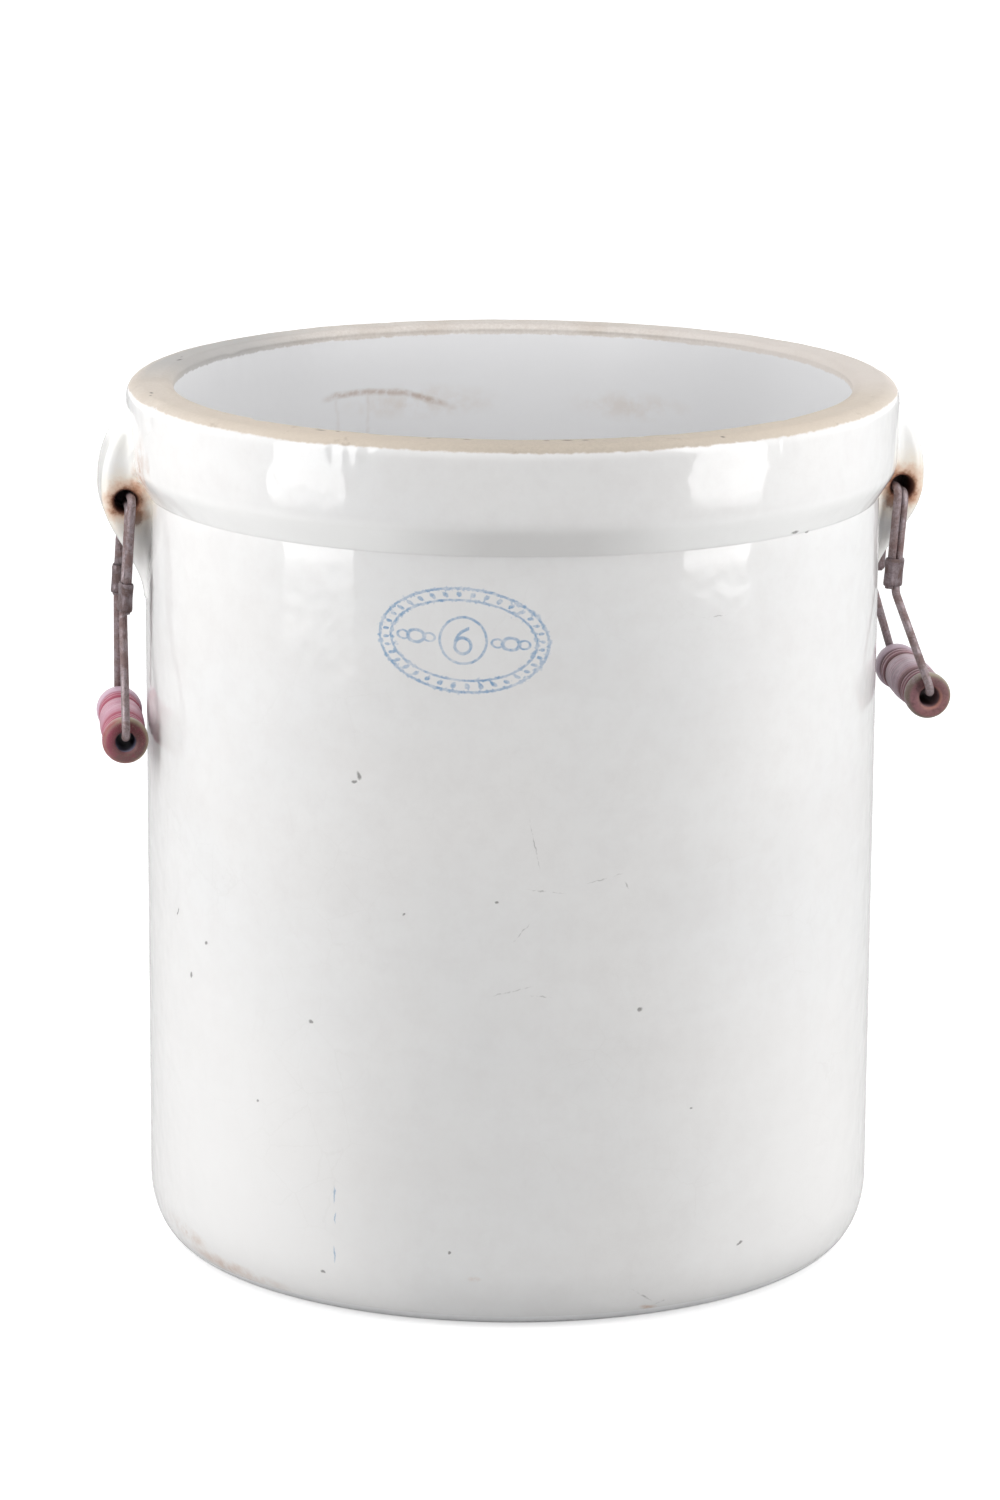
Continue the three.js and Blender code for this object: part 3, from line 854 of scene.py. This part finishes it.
def glaze_colour(s, place, x, z):
    """Off-white with clouds and specks, and painted light that makes it paler low at the sides."""
    washed = s.noise(s.mapping(place, scale=(1, 1, 0.25)), 7, 3, 0.6)
    return s.layers(
        rgb(230, 230, 230),
        (s.range(s.noise(place, 9, 3), 0.35, 0.7), rgb(234, 233, 232)),
        (s.range(s.noise(place, 160, 4, 0.6), 0.62, 0.8, 0, 0.08), rgb(200, 198, 194)),
        (s.range(s.noise(place, 95, 5, 0.7), 0.42, 0.66, 0, 0.22), rgb(219, 216, 215)),
        (s.range(washed, 0.45, 0.7, 0, 0.22), rgb(222, 219, 217)),
        # Painted light: paler towards the foot at the sides
        (s.times(s.range(z, 180, 50), s.range(s.abs(x), 55, 125, 0.1, 0.8)), rgb(243, 242, 241)),
    )


def outside_marks(s, place, x, z, round_skin, outside, colour):
    """Craze lines, painted shade and painted light on the band under the collar, stains, flecks, scratches
    and ink; returns the flecks too.
    """
    wobble = s.node("ShaderNodeTexNoise", {"Vector": place, "Scale": 420, "Detail": 3}).outputs["Color"]
    wobble = s.vector("SCALE", s.vector("SUBTRACT", wobble, (0.5, 0.5, 0.5)), scale=1.6)
    inked_skin = s.vector("ADD", round_skin, s.vector("SCALE", wobble, scale=0.35))
    skin = s.vector("ADD", round_skin, wobble)
    shaken = s.vector("ADD", place, s.vector("SCALE", wobble, scale=0.0012))
    cells = s.node("ShaderNodeTexVoronoi", {"Vector": shaken, "Scale": 52}, feature="DISTANCE_TO_EDGE")
    craze = s.range(cells.outputs["Distance"], 0.016, 0.004)
    craze = s.times(craze, s.range(s.noise(place, 14, 2), 0.5, 0.68), 0.04)
    # Painted shade and painted light on the band under the collar: darker near the middle, paler towards the
    # sides
    under = s.times(s.range(z, 344, 338), s.above(z, COLLAR_BOTTOM))
    from_middle = s.abs(s.plus(x, 12))
    painted_shade_and_light = s.mix(s.range(from_middle, 20, 60), rgb(220, 219, 218), rgb(241, 241, 240))
    patchy = s.range(s.noise(place, 90, 4, 0.7), 0.35, 0.65)
    broken = s.range(s.noise(place, 300), 0.42, 0.58)
    grainy = s.range(s.noise(place, 420, 3, 0.6), 0.34, 0.62, 0.35, 1)
    faded = s.range(s.noise(place, 60, 2), 0.3, 0.6, 0.55, 1)
    brown = s.times(marks(s, skin, BROWN_MARKS, 0.95), patchy, outside)
    grey = s.times(marks(s, skin, GREY_MARKS, 0.5), outside)
    fine = s.times(marks(s, skin, SCRATCHES, 0.6), broken, outside)
    ink = s.times(stamp(s, inked_skin), grainy, faded)
    ink = s.max(ink, s.times(marks(s, skin, BLUE_MARKS, 0.6), 0.7))
    colour = s.layers(
        colour,
        (craze, rgb(160, 152, 140)),
        (s.times(under, outside, 0.9), painted_shade_and_light),
        (s.times(brown, 0.65), rgb(190, 142, 104)),
        (s.times(grey, 0.75), rgb(118, 116, 114)),
        (s.times(fine, 0.5), rgb(140, 138, 136)),
        (s.times(ink, outside, 0.85), rgb(104, 150, 192)),
    )
    return colour, grey


def clay_colour(s, place, x, y, radius, turned, grit):
    """Bare clay of the rim: pale at the back, darker at the front, with a few chips."""
    front = s.layers(
        rgb(172, 162, 150),
        (grit, rgb(200, 189, 175)),
        (s.range(s.abs(x), 25, 95, 0, 0.55), rgb(214, 201, 186)),
        (s.range(s.noise(place, 70, 4, 0.7), 0.62, 0.7, 0, 0.4), rgb(150, 134, 118)),
    )
    right_pale = s.times(s.range(x, 60, 120), s.range(y, -60, -20, 0, 0.6))
    left_grey = s.times(s.range(x, -60, -105), s.range(y, 0, 55), s.range(radius, 161, 157, 0, 0.8))
    chips = marks(s, s.join(turned, radius), RIM_CHIPS, 0.8)
    return s.layers(
        rgb(208, 200, 193),
        (s.range(grit, 0.3, 0.75), rgb(225, 219, 213)),
        (s.range(s.noise(place, 45, 4, 0.6), 0.45, 0.75, 0, 0.4), rgb(186, 171, 156)),
        (s.range(y, 110, -130), front),
        (right_pale, rgb(221, 214, 209)),
        (left_grey, rgb(178, 177, 176)),
        (s.times(chips, 0.8), rgb(86, 82, 80)),
    )


def glaze_material():
    s = Shader("crock_glaze")
    place = s.place()
    millimetres = s.in_mm(place)
    x, y, z = s.split(millimetres)
    radius = s.length(s.join(x, y))
    turned = s.times(s.math("ARCTAN2", x, s.times(y, -1)), BODY_RADIUS)
    outside = s.above(s.plus(radius, s.range(z, 14, 12, 0, 15)), WALL_MIDDLE)
    outside = s.times(outside, s.below(z, HEIGHT - 8))
    colour = glaze_colour(s, place, x, z)
    colour, grey = outside_marks(s, place, x, z, s.join(turned, z), outside, colour)
    inside = s.below(radius, MOUTH_RADIUS + 6)
    # Painted light: the inside is paler in the middle than towards the sides
    deep = s.mix(s.range(s.abs(x), 120, 60), rgb(229, 229, 230), rgb(240, 240, 241))
    crack, bleed = inner_crack(s, millimetres)
    colour = s.layers(
        colour,
        (inside, deep),
        (s.times(bleed, 0.3), rgb(204, 180, 156)),
        (s.times(crack, 0.5), rgb(168, 134, 106)),
    )
    colour, rusted = rust_stain(s, millimetres, colour)

    # The clay is bare above a frayed line, lower on the inner side of the rim
    fray = s.times(s.minus(s.noise(place, 320, 4, 0.6), 0.5), 1.8)
    sway = s.times(s.minus(s.noise(place, 30, 2), 0.5), 1.6)
    level = s.plus(z, fray, sway)
    outer_line = s.range(level, HEIGHT - 3.7, HEIGHT - 2.7, smooth=True)
    inner_line = s.range(level, HEIGHT - 5.1, HEIGHT - 4.1, smooth=True)
    bare = s.max(outer_line, s.times(inner_line, s.below(radius, RIM_MIDDLE)))
    grit = s.noise(place, 700, 4, 0.7)
    colour = s.mix(bare, colour, clay_colour(s, place, x, y, radius, turned, grit))

    rough = s.plus(s.range(s.noise(place, 55, 3), 0.3, 0.75, 0.03, 0.07), s.times(inside, 0.3))
    rough = s.math("ADD", s.times(s.max(bare, rusted), 0.75), rough, clamp=True)
    rings = s.noise(s.mapping(place, scale=(8, 8, 1)), 330, 2)
    height = s.plus(
        s.times(s.noise(place, 190, 0), 0.75),
        s.times(s.noise(place, 85, 0), 1.4),
        s.times(s.noise(place, 28, 0), 3.5),
        s.times(rings, 0.12),
        s.times(bare, s.minus(grit, 0.8)),
        s.times(grey, -1),
    )
    return s.finish({"Base Color": colour, "Roughness": rough, "IOR": GLAZE_IOR}, height, GLAZE_RELIEF)


def ear_material():
    """Glaze like the crock's, stained round the hole."""
    s = Shader("ear_glaze")
    place = s.place()
    colour = s.mix(s.range(s.noise(place, 30, 3), 0.4, 0.7), rgb(235, 235, 234), rgb(234, 232, 226))
    colour, rusted = rust_stain(s, s.in_mm(place), colour)
    peel = s.noise(place, 220, 3, 0.55)
    dents = s.noise(place, 60, 2)
    height = s.plus(s.times(peel, 0.5), dents, rusted)
    rough = s.range(rusted, 0, 0.6, 0.14, 1)
    return s.finish({"Base Color": colour, "Roughness": rough, "IOR": EAR_IOR}, height, GLAZE_RELIEF)


def bore_material():
    """Dull rust and grime inside the ear holes."""
    s = Shader("ear_bore")
    place = s.place()
    grime = s.noise(place, 400, 4, 0.7)
    colour = s.mix(s.range(grime, 0.35, 0.7), rgb(112, 76, 62), rgb(150, 108, 88))
    return s.finish({"Base Color": colour, "Roughness": 1, "Specular IOR Level": 0}, grime, 0.0003)


def rusty_material(name, steel, rust, scale, steel_rough):
    """Dull steel with patches of rust; scale sets how fine they are."""
    s = Shader(name)
    place = s.place()
    patches = s.noise(place, scale, 5, 0.65, 0.4)
    grain = s.noise(place, scale * 6, 4, 0.7)
    rusted = s.range(patches, 0.42, 0.6)
    colour = s.mix(rusted, steel, rust)
    colour = s.mix(s.range(grain, 0.5, 0.75, 0, 0.6), colour, rgb(66, 52, 50))
    metallic = s.range(rusted, 0, 1, 0.75, 0.15)
    rough = s.range(rusted, 0, 1, steel_rough, 0.8)
    inputs = {"Base Color": colour, "Metallic": metallic, "Roughness": rough}
    return s.finish(inputs, s.plus(grain, patches), 0.00015)


# Colours of the grips: the painted middle, its ridges and grooves, the rear bead, the front bead and its bare
# edge, the end wood and its lower part, the painted light on the lip of the bore, and the wall of the bore
GRIP_LOOKS = {
    "left": {
        "paint": (168, 78, 100), "crest": (198, 156, 176), "groove": (146, 62, 84),
        "rear": (206, 180, 196), "bead": (146, 46, 64), "edge": (148, 134, 108),
        "face": (112, 56, 62), "face_low": (112, 82, 80), "painted_lit_lip": (124, 84, 84), "bore": (120, 118, 138),
    },
    "right": {
        "paint": (146, 104, 112), "crest": (186, 164, 178), "groove": (78, 48, 48),
        "rear": (178, 160, 172), "bead": (112, 92, 84), "edge": (124, 114, 96),
        "face": (118, 76, 80), "face_low": (142, 94, 96), "painted_lit_lip": (182, 128, 114), "bore": (134, 108, 112),
    },
}


def grip_material(side, hang):
    """Paint worn thin over turned wood, and bare wood at the ends."""
    s = Shader(f"grip_paint_{side}")
    place = s.place()
    to_side = Matrix.Rotation(hang["azimuth"], 3, "Z")
    centre = to_side @ (grip_centre(hang) + Vector((HOLE_OUT, 0, HOLE_HEIGHT)))
    axis = to_side @ grip_axis(hang)
    local = s.vector("SUBTRACT", s.in_mm(place), tuple(centre))
    along = s.vector("DOT_PRODUCT", local, tuple(axis))
    flat = s.vector("SUBTRACT", local, s.vector("MULTIPLY", s.join(along, along, along), tuple(axis)))
    radius = s.length(flat)
    stretched = s.vector("MULTIPLY", local, (0.35, 0.035, 0.35))
    grain = s.noise(stretched, 5, 5, 0.65, 0.3)
    wear = s.noise(place, 150, 5, 0.7)
    fine = s.noise(place, 900, 3, 0.6)
    blotch = s.noise(place, 380, 3, 0.6)
    outward, _, upward = s.split(flat)
    bands = s.noise(s.join(s.times(along, 0.5), s.times(upward, 0.05)), 1, 3, 0.6)
    look = {part: rgb(*colour) for part, colour in GRIP_LOOKS[side].items()}
    crest = s.plus(radius, s.times(s.minus(wear, 0.5), 1.2))
    paint = s.layers(
        look["paint"],
        (s.range(crest, 9, 9.5, 0, 0.85), look["crest"]),
        (s.range(bands, 0.52, 0.6, 0, 0.75), look["paint"]),
        (s.range(bands, 0.5, 0.4, 0, 0.5), look["groove"]),
        (s.range(wear, 0.56, 0.7, 0, 0.4), look["groove"]),
    )
    rubbed = s.plus(outward, s.times(upward, 0.4), s.times(wear, 8))
    bead = s.layers(
        look["bead"],
        (s.range(wear, 0.5, 0.62, 0, 0.5), look["crest"]),
        (s.range(rubbed, 1, 7, 0.15, 0.9), s.mix(grain, look["edge"], rgb(160, 148, 124))),
    )
    end_wood = s.layers(
        look["face"],
        (s.range(s.plus(upward, s.times(wear, -6)), 0.5, -7), look["face_low"]),
        (s.range(fine, 0.4, 0.7, 0, 0.35), look["groove"]),
        (s.range(grain, 0.52, 0.66, 0, 0.45), look["edge"]),
        (s.range(outward, -3, -7.5, 0, 0.6), look["paint"]),
        (s.range(blotch, 0.5, 0.68, 0, 0.5), look["groove"]),
        (s.range(radius, 8, 9.2, 0, 0.5), look["edge"]),
    )
    face = s.range(along, 32.4, 33.5)
    dirt = s.times(s.range(radius, 9.15, 8.4, 0, 0.9), s.minus(1, face))
    # Painted light: the lip of the bore is paler on its lower side towards +X
    painted_lit_lip = s.times(s.range(radius, 6, 5), s.range(s.minus(outward, upward), -2, 4, 0.2, 1))
    colour = s.layers(
        paint,
        (s.range(along, 24.6, 26), bead),
        (s.range(along, -24.6, -26, 0, 0.85), look["rear"]),
        (dirt, look["groove"]),
        (face, end_wood),
        (s.times(painted_lit_lip, face, 0.7), look["painted_lit_lip"]),
        (s.range(radius, 4.5, 4.3), look["bore"]),
    )
    rough = s.range(wear, 0.3, 0.7, 0.3, 0.55)
    return s.finish({"Base Color": colour, "Roughness": rough}, s.plus(grain, s.times(fine, 0.4)), 0.0002)


# ---- pieces on their bodies ----


def finish_piece(obj, materials, body, slot, *nodes):
    """Gives a piece its materials and body, and hides the solids that it stands in for; slot is not used."""
    obj.data.materials.clear()
    for material in materials:
        obj.data.materials.append(material)
    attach(obj, body)
    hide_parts(*nodes)


wire_steel = rusty_material("wire_rust", rgb(162, 149, 152), rgb(128, 106, 104), 160, 0.5)
sleeve_steel = rusty_material("sleeve_rust", rgb(132, 120, 124), rgb(100, 82, 80), 220, 0.45)
ear_glaze = ear_material()
ear_bore = bore_material()
finish_piece(make_crock(), [glaze_material()], "crock", "vessel_glaze", "crock_vessel")
for side, hang in HANGS.items():
    finish_piece(make_ear(side, hang["azimuth"]), [ear_glaze, ear_bore], "crock", "ear_glaze", f"ear_{side}")
    finish_piece(make_wire(side, hang), [wire_steel], f"{side}_bail", "bail_wire", f"bail_wire_{side}")
    for place in ("front", "rear"):
        node = f"sleeve_{side}_{place}"
        finish_piece(make_sleeve(side, place, hang), [sleeve_steel], f"{side}_bail", "wire_sleeve", node)
    painted = [grip_material(side, hang)]
    finish_piece(make_grip(side, hang), painted, f"{side}_grip", "painted_grip", f"grip_{side}")


# ---- floor, light and camera ----

# The photographed view: the ears' line is turned 8 degrees from the picture plane
VIEW_TURN = math.radians(-8)
CAMERA_ELEVATION = math.radians(13.832)
CAMERA_DISTANCE = 2.6
CAMERA_AIM_HEIGHT = 0.18
CAMERA_LENS = 143.7
# Small turns about the camera's own axes (0 right, 1 up, 2 forward), in degrees, one after the other
CAMERA_TURNS = [(0.10, 1), (0.691, 0), (-0.381, 2)]
FLOOR_HALF = 6
FLOOR_DROP = 0.0002
FLOOR_GLOW = 0.6
# Strengths of the world: seen by the camera, lighting from the sides, and mirrored in gloss
WHITE = 1
SIDE_LIGHT = 0.8
REAR_SIDE_LIGHT = 1.6
CAMERA_SIDE_MIRRORED = 0.2
FAR_SIDE_MIRRORED = 1.5


def add_floor():
    """A pale floor that holds the shadow, with a glow for the camera alone that brings it to white."""
    mesh = bpy.data.meshes.new("floor")
    half = FLOOR_HALF
    corners = [(-half, -half, 0), (half, -half, 0), (half, half, 0), (-half, half, 0)]
    mesh.from_pydata(corners, [], [(0, 1, 2, 3)])
    floor = add_to_scene("floor", mesh)
    floor.location.z = -FLOOR_DROP
    s = Shader("floor_white")
    s.set(s.bsdf.inputs["Base Color"], (0.65, 0.65, 0.65, 1))
    s.set(s.bsdf.inputs["Roughness"], 0.35)
    strength = s.times(s.node("ShaderNodeLightPath").outputs["Is Camera Ray"], FLOOR_GLOW)
    glow = s.node("ShaderNodeEmission", {"Color": (1, 1, 1, 1), "Strength": strength})
    both = s.node("ShaderNodeAddShader", {0: s.bsdf.outputs[0], 1: glow.outputs[0]})
    s.set(s.tree.nodes["Material Output"].inputs[0], both.outputs[0])
    mesh.materials.append(s.material)


def add_softbox(name, azimuth, distance, height, width, tall, power):
    """A lamp at an angle from the camera's direction; upright at the sides, facing down overhead."""
    lamp = bpy.data.lights.new(name, "AREA")
    lamp.shape = "RECTANGLE"
    lamp.size, lamp.size_y, lamp.energy = width, tall, power
    obj = add_to_scene(name, lamp)
    angle = math.radians(azimuth) + VIEW_TURN
    obj.location = (distance * math.sin(angle), -distance * math.cos(angle), height)
    target = Vector((0, 0, height if distance > 0.1 else 0))
    obj.rotation_mode = "QUATERNION"
    obj.rotation_quaternion = (target - obj.location).to_track_quat("-Z", "Y")


def add_world():
    """White for the camera; light from both sides; mirrored with a darker studio on the camera's side."""
    world = bpy.data.worlds.new("studio")
    bpy.context.scene.world = world
    world.use_nodes = True
    w = Nodes(world.node_tree)
    background = w.tree.nodes["Background"]
    w.set(background.inputs["Color"], (1, 1, 1, 1))
    path = w.node("ShaderNodeLightPath").outputs
    x, y, _ = w.split(w.node("ShaderNodeTexCoord").outputs["Generated"])
    light = w.times(w.range(w.abs(x), 0.3, 1), w.range(y, -0.3, 0.5, SIDE_LIGHT, REAR_SIDE_LIGHT))
    mirrored = w.range(y, -0.5, 0.5, CAMERA_SIDE_MIRRORED, FAR_SIDE_MIRRORED)
    lit = w.choose(path["Is Glossy Ray"], light, mirrored)
    w.set(background.inputs["Strength"], w.choose(path["Is Camera Ray"], lit, WHITE))


def add_camera():
    forward = Vector((0, math.cos(CAMERA_ELEVATION), -math.sin(CAMERA_ELEVATION)))
    location = Vector((0, 0, CAMERA_AIM_HEIGHT)) - CAMERA_DISTANCE * forward
    right = Vector((1, 0, 0))
    axes = [right, right.cross(forward), forward]
    for degrees, about in CAMERA_TURNS:
        turn = Matrix.Rotation(math.radians(degrees), 3, axes[about])
        axes = [turn @ axis for axis in axes]
    right, up, forward = axes
    camera = bpy.data.cameras.new("camera")
    camera.lens = CAMERA_LENS
    camera.clip_end = 50
    obj = add_to_scene("camera", camera)
    pose = Matrix((right, up, -forward)).transposed().to_4x4()
    pose.translation = location
    obj.matrix_world = Matrix.Rotation(VIEW_TURN, 4, "Z") @ pose
    bpy.context.scene.camera = obj


# Softboxes at either side of the camera: angle, distance, width, radiant power per square metre,
# and upright bands as (from, to, share of the full brightness), dimmer towards the lower edge
SOFTBOXES = {
    "left": (
        -57, 0.893, 0.366, 15.9,
        [(0.2, 1.6, 1), (0.165, 0.2, 0.6), (0.14, 0.165, 0.35), (0.115, 0.14, 0.15)],
    ),
    "right": (61, 0.889, 0.374, 16.1, [(0.2, 1.6, 1), (0.165, 0.2, 0.55), (0.15, 0.165, 0.25)]),
}

bpy.context.scene.view_settings.view_transform = "Standard"
add_floor()
add_world()
for side, (azimuth, distance, width, brightness, strips) in SOFTBOXES.items():
    for number, (low, high, share) in enumerate(strips, 1):
        power = brightness * share * width * (high - low)
        name = f"softbox_{side}_{number}"
        add_softbox(name, azimuth, distance, (low + high) / 2, width, high - low, power)
add_softbox("softbox_top", 0, 0.01, 2.2, 1.4, 1.4, 11.2)
add_camera()
